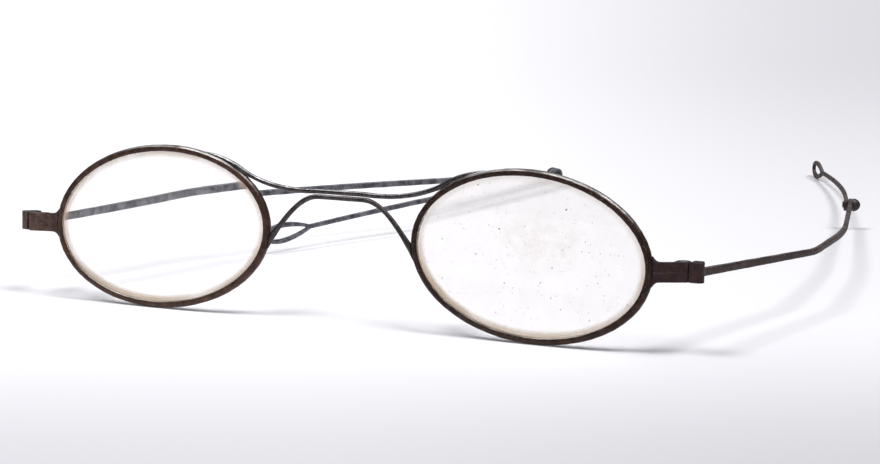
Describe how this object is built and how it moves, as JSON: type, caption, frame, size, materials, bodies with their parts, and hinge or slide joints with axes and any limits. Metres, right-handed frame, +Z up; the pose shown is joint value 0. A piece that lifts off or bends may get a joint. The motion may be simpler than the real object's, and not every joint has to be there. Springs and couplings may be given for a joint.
{
  "type": "spectacles",
  "caption": "Antique steel-wire spectacles with oval glasses, an X bridge, screwed temple hinges and turn-pin temples that end in open loops.",
  "frame": {"origin": "on the table under the middle of the part's bounding box", "axes": "+Z up, -Y is the way the front faces, +Y runs back along the temples, +X is the right of someone who looks at the front"},
  "size_m": [0.1182, 0.1768, 0.0251],
  "materials": {
    "steel": "dark patina",
    "worn_steel": "worn bright",
    "rusty_steel": "brown rust film",
    "lens_glass": "clear, dusty"
  },
  "bodies": {
    "front": {"left_rim": "steel", "right_rim": "steel", "left_lens": "lens_glass", "right_lens": "lens_glass", "bridge_upper_wire": "worn_steel", "bridge_lower_wire": "steel", "left_joint_upper": "rusty_steel", "left_joint_lower": "rusty_steel", "right_joint_upper": "rusty_steel", "right_joint_lower": "rusty_steel", "left_hinge_screw": "worn_steel", "right_hinge_screw": "worn_steel"},
    "left_temple": {"left_temple_joint": "rusty_steel", "left_temple_bar": "steel", "left_turn_pin": "worn_steel"},
    "right_temple": {"right_temple_joint": "rusty_steel", "right_temple_bar": "steel", "right_turn_pin": "worn_steel"},
    "left_end": {"left_temple_end": "steel", "left_temple_loop": "steel"},
    "right_end": {"right_temple_end": "steel", "right_temple_loop": "steel"}
  },
  "joints": [
    {"name": "left_temple_fold", "type": "hinge", "parent": "front", "child": "left_temple", "pos_m": [-0.05544, -0.08534, 0.01148], "axis": [0, -0.0593, -0.9982], "range_deg": [-21.1, 60]},
    {"name": "right_temple_fold", "type": "hinge", "parent": "front", "child": "right_temple", "pos_m": [0.05009, -0.0853, 0.0121], "axis": [0, 0.0593, 0.9982], "range_deg": [0, 30]},
    {"name": "left_end_turn", "type": "hinge", "parent": "left_temple", "child": "left_end", "pos_m": [-0.00974, 0.01721, 0.00799], "axis": [-0.8221, 0.5683, -0.0338], "range_deg": [-150, 182]},
    {"name": "right_end_turn", "type": "hinge", "parent": "right_temple", "child": "right_end", "pos_m": [0.04438, 0.0266, 0.00455], "axis": [-0.972, -0.2347, 0.0139], "range_deg": [-178, 178]}
  ]
}
